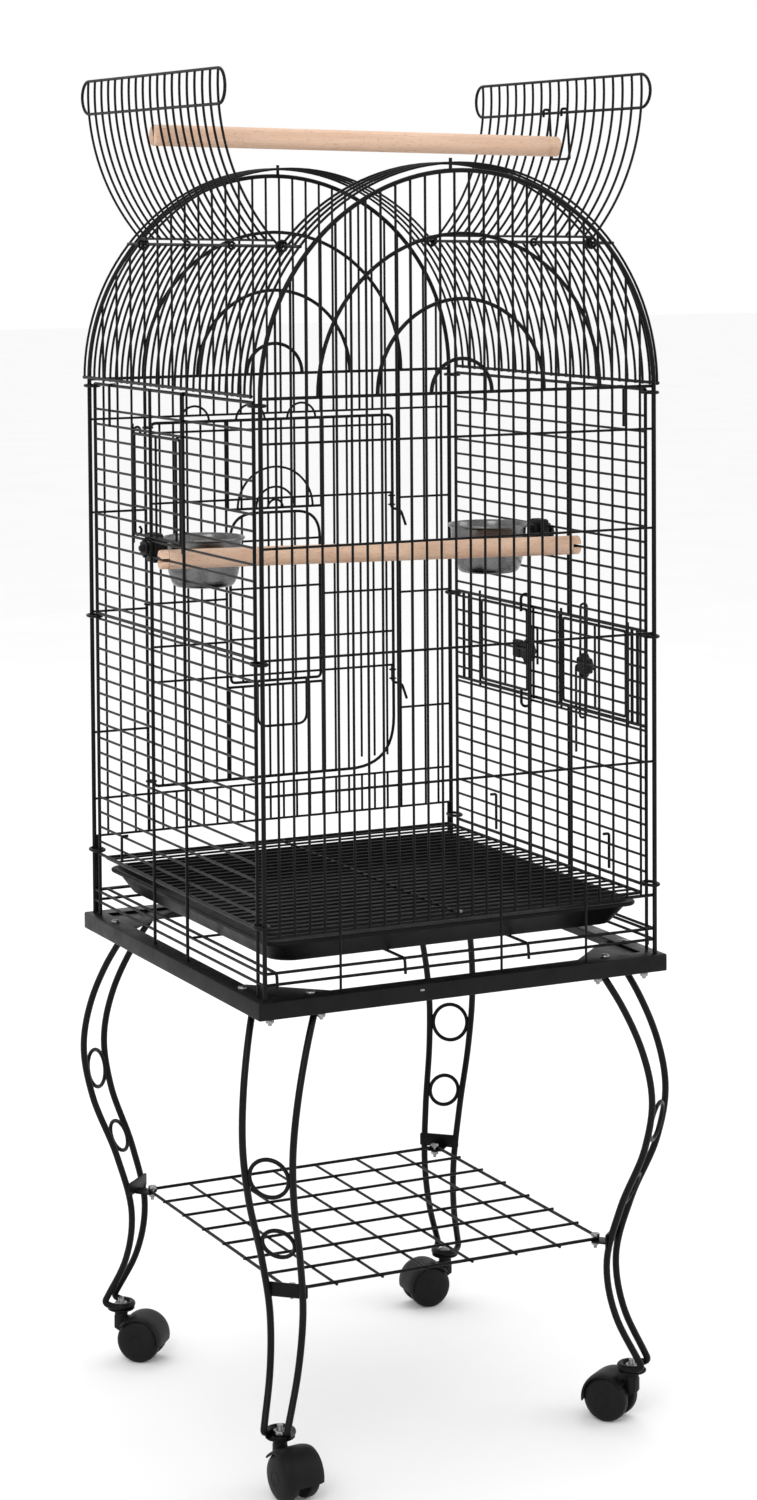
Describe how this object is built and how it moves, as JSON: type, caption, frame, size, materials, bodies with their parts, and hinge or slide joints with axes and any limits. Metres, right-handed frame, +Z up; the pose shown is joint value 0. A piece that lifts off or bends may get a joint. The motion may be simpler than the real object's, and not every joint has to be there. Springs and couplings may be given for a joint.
{
  "type": "bird cage on stand",
  "caption": "Dome-top wire bird cage with open roof flaps, perches, feeder doors and a slide-out tray, on a stand with curved legs, a wire shelf and casters.",
  "frame": {"origin": "floor point under the centre of the cage's bounding box", "axes": "+Z up; the plain wall faces -Y, the wall with the main door faces +Y; X runs across both"},
  "size_m": [0.4775, 0.5073, 1.3682],
  "materials": {
    "wire_black": "satin black powder coat",
    "plastic_black": "finely textured",
    "wood": "plain sanded beech",
    "steel": "brushed"
  },
  "bodies": {
    "cage": {"base_frame": "wire_black", "shelf": "wire_black", "front_frame": "wire_black", "back_frame": "wire_black", "front_grille": "wire_black", "back_grille": "wire_black", "left_side_panel": "wire_black", "right_side_panel": "wire_black", "roof_grille": "wire_black", "tray_rack": "wire_black", "inner_perch": "wood", "left_bowl_clamp": "plastic_black", "right_bowl_clamp": "plastic_black", "left_bowl_nut": "plastic_black", "right_bowl_nut": "plastic_black", "front_left_leg": "wire_black", "front_left_shelf_bolt": "steel", "front_left_caster_stem": "steel", "front_right_leg": "wire_black", "front_right_shelf_bolt": "steel", "front_right_caster_stem": "steel", "rear_left_leg": "wire_black", "rear_left_shelf_bolt": "steel", "rear_left_caster_stem": "steel", "rear_right_leg": "wire_black", "rear_right_shelf_bolt": "steel", "rear_right_caster_stem": "steel"},
    "front_left_caster": {"front_left_caster_body": "plastic_black", "front_left_caster_axle": "steel"},
    "front_left_left_wheel": {"front_left_left_wheel": "plastic_black"},
    "front_left_right_wheel": {"front_left_right_wheel": "plastic_black"},
    "front_right_caster": {"front_right_caster_body": "plastic_black", "front_right_caster_axle": "steel"},
    "front_right_left_wheel": {"front_right_left_wheel": "plastic_black"},
    "front_right_right_wheel": {"front_right_right_wheel": "plastic_black"},
    "rear_left_caster": {"rear_left_caster_body": "plastic_black", "rear_left_caster_axle": "steel"},
    "rear_left_left_wheel": {"rear_left_left_wheel": "plastic_black"},
    "rear_left_right_wheel": {"rear_left_right_wheel": "plastic_black"},
    "rear_right_caster": {"rear_right_caster_body": "plastic_black", "rear_right_caster_axle": "steel"},
    "rear_right_left_wheel": {"rear_right_left_wheel": "plastic_black"},
    "rear_right_right_wheel": {"rear_right_right_wheel": "plastic_black"},
    "left_flap": {"left_flap": "wire_black"},
    "right_flap": {"right_flap": "wire_black", "perch_hook": "wire_black"},
    "main_door": {"main_door": "wire_black"},
    "inner_door": {"inner_door": "wire_black"},
    "left_feeder_door": {"left_feeder_door": "wire_black"},
    "right_rear_feeder_door": {"right_rear_feeder_door": "wire_black"},
    "right_front_feeder_door": {"right_front_feeder_door": "wire_black"},
    "tray": {"tray": "plastic_black"},
    "grate": {"grate": "wire_black"},
    "left_bowl": {"left_bowl": "steel"},
    "right_bowl": {"right_bowl": "steel"},
    "top_perch": {"top_perch": "wood"},
    "upper_door_latch": {"upper_door_latch": "wire_black"},
    "lower_door_latch": {"lower_door_latch": "wire_black"},
    "rear_feeder_knob": {"rear_feeder_knob": "plastic_black"},
    "front_feeder_knob": {"front_feeder_knob": "plastic_black"}
  },
  "joints": [
    {"name": "front_left_swivel", "type": "hinge", "parent": "cage", "child": "front_left_caster", "pos_m": [-0.19618, -0.20673, 0.0508], "axis": [0, 0, 1], "continuous": true},
    {"name": "front_left_left_wheel_spin", "type": "hinge", "parent": "front_left_caster", "child": "front_left_left_wheel", "pos_m": [-0.19326, -0.23055, 0.0235], "axis": [0.9925, 0.1219, 0], "continuous": true},
    {"name": "front_left_right_wheel_spin", "type": "hinge", "parent": "front_left_caster", "child": "front_left_right_wheel", "pos_m": [-0.19326, -0.23055, 0.0235], "axis": [0.9925, 0.1219, 0], "continuous": true},
    {"name": "front_right_swivel", "type": "hinge", "parent": "cage", "child": "front_right_caster", "pos_m": [0.19618, -0.20673, 0.0508], "axis": [0, 0, 1], "continuous": true},
    {"name": "front_right_left_wheel_spin", "type": "hinge", "parent": "front_right_caster", "child": "front_right_left_wheel", "pos_m": [0.18276, -0.18683, 0.0235], "axis": [-0.829, -0.5592, 0], "continuous": true},
    {"name": "front_right_right_wheel_spin", "type": "hinge", "parent": "front_right_caster", "child": "front_right_right_wheel", "pos_m": [0.18276, -0.18683, 0.0235], "axis": [-0.829, -0.5592, 0], "continuous": true},
    {"name": "rear_left_swivel", "type": "hinge", "parent": "cage", "child": "rear_left_caster", "pos_m": [-0.19618, 0.20673, 0.0508], "axis": [0, 0, 1], "continuous": true},
    {"name": "rear_left_left_wheel_spin", "type": "hinge", "parent": "rear_left_caster", "child": "rear_left_left_wheel", "pos_m": [-0.17835, 0.19067, 0.0235], "axis": [0.6691, 0.7431, 0], "continuous": true},
    {"name": "rear_left_right_wheel_spin", "type": "hinge", "parent": "rear_left_caster", "child": "rear_left_right_wheel", "pos_m": [-0.17835, 0.19067, 0.0235], "axis": [0.6691, 0.7431, 0], "continuous": true},
    {"name": "rear_right_swivel", "type": "hinge", "parent": "cage", "child": "rear_right_caster", "pos_m": [0.19618, 0.20673, 0.0508], "axis": [0, 0, 1], "continuous": true},
    {"name": "rear_right_left_wheel_spin", "type": "hinge", "parent": "rear_right_caster", "child": "rear_right_left_wheel", "pos_m": [0.17224, 0.20841, 0.0235], "axis": [-0.0698, -0.9976, 0], "continuous": true},
    {"name": "rear_right_right_wheel_spin", "type": "hinge", "parent": "rear_right_caster", "child": "rear_right_right_wheel", "pos_m": [0.17224, 0.20841, 0.0235], "axis": [-0.0698, -0.9976, 0], "continuous": true},
    {"name": "left_flap_hinge", "type": "hinge", "parent": "cage", "child": "left_flap", "pos_m": [-0.17044, 0, 1.19702], "axis": [0, -1, 0], "range_deg": [0, 70]},
    {"name": "right_flap_hinge", "type": "hinge", "parent": "cage", "child": "right_flap", "pos_m": [0.17044, 0, 1.19702], "axis": [0, 1, 0], "range_deg": [0, 70]},
    {"name": "main_door_hinge", "type": "hinge", "parent": "cage", "child": "main_door", "pos_m": [-0.1455, 0.222, 0.81], "axis": [0, 0, 1], "range_deg": [0, 120]},
    {"name": "inner_door_hinge", "type": "hinge", "parent": "main_door", "child": "inner_door", "pos_m": [-0.0537, 0.222, 0.81], "axis": [0, 0, 1], "range_deg": [0, 120]},
    {"name": "upper_latch_pivot", "type": "hinge", "parent": "main_door", "child": "upper_door_latch", "pos_m": [0.144, 0.2262, 0.905], "axis": [0, 0, 1], "range_deg": [0, 90]},
    {"name": "lower_latch_pivot", "type": "hinge", "parent": "main_door", "child": "lower_door_latch", "pos_m": [0.144, 0.2262, 0.71], "axis": [0, 0, 1], "range_deg": [0, 90]},
    {"name": "left_feeder_hinge", "type": "hinge", "parent": "cage", "child": "left_feeder_door", "pos_m": [-0.215, -0.0259, 0.952], "axis": [0, 0, 1], "range_deg": [0, 110]},
    {"name": "right_rear_feeder_hinge", "type": "hinge", "parent": "cage", "child": "right_rear_feeder_door", "pos_m": [0.215, 0.1462, 0.7578], "axis": [0, 0, 1], "range_deg": [0, 110]},
    {"name": "right_front_feeder_hinge", "type": "hinge", "parent": "cage", "child": "right_front_feeder_door", "pos_m": [0.215, -0.1662, 0.7578], "axis": [0, 0, -1], "range_deg": [0, 110]},
    {"name": "rear_knob_turn", "type": "hinge", "parent": "right_rear_feeder_door", "child": "rear_feeder_knob", "pos_m": [0.2172, 0.052, 0.756], "axis": [1, 0, 0], "range_deg": [0, 90]},
    {"name": "front_knob_turn", "type": "hinge", "parent": "right_front_feeder_door", "child": "front_feeder_knob", "pos_m": [0.2172, -0.074, 0.756], "axis": [1, 0, 0], "range_deg": [0, 90]},
    {"name": "tray_slide", "type": "slide", "parent": "cage", "child": "tray", "axis": [0, 1, 0], "range_m": [0, 0.3]},
    {"name": "grate_slide", "type": "slide", "parent": "cage", "child": "grate", "axis": [0, 1, 0], "range_m": [0, 0.3]},
    {"name": "left_bowl_lift", "type": "slide", "parent": "cage", "child": "left_bowl", "axis": [0, 0, 1], "range_m": [0, 0.05]},
    {"name": "right_bowl_lift", "type": "slide", "parent": "cage", "child": "right_bowl", "axis": [0, 0, 1], "range_m": [0, 0.05]},
    {"name": "top_perch_lift", "type": "slide", "parent": "cage", "child": "top_perch", "axis": [0, 0, 1], "range_m": [0, 0.1]}
  ]
}
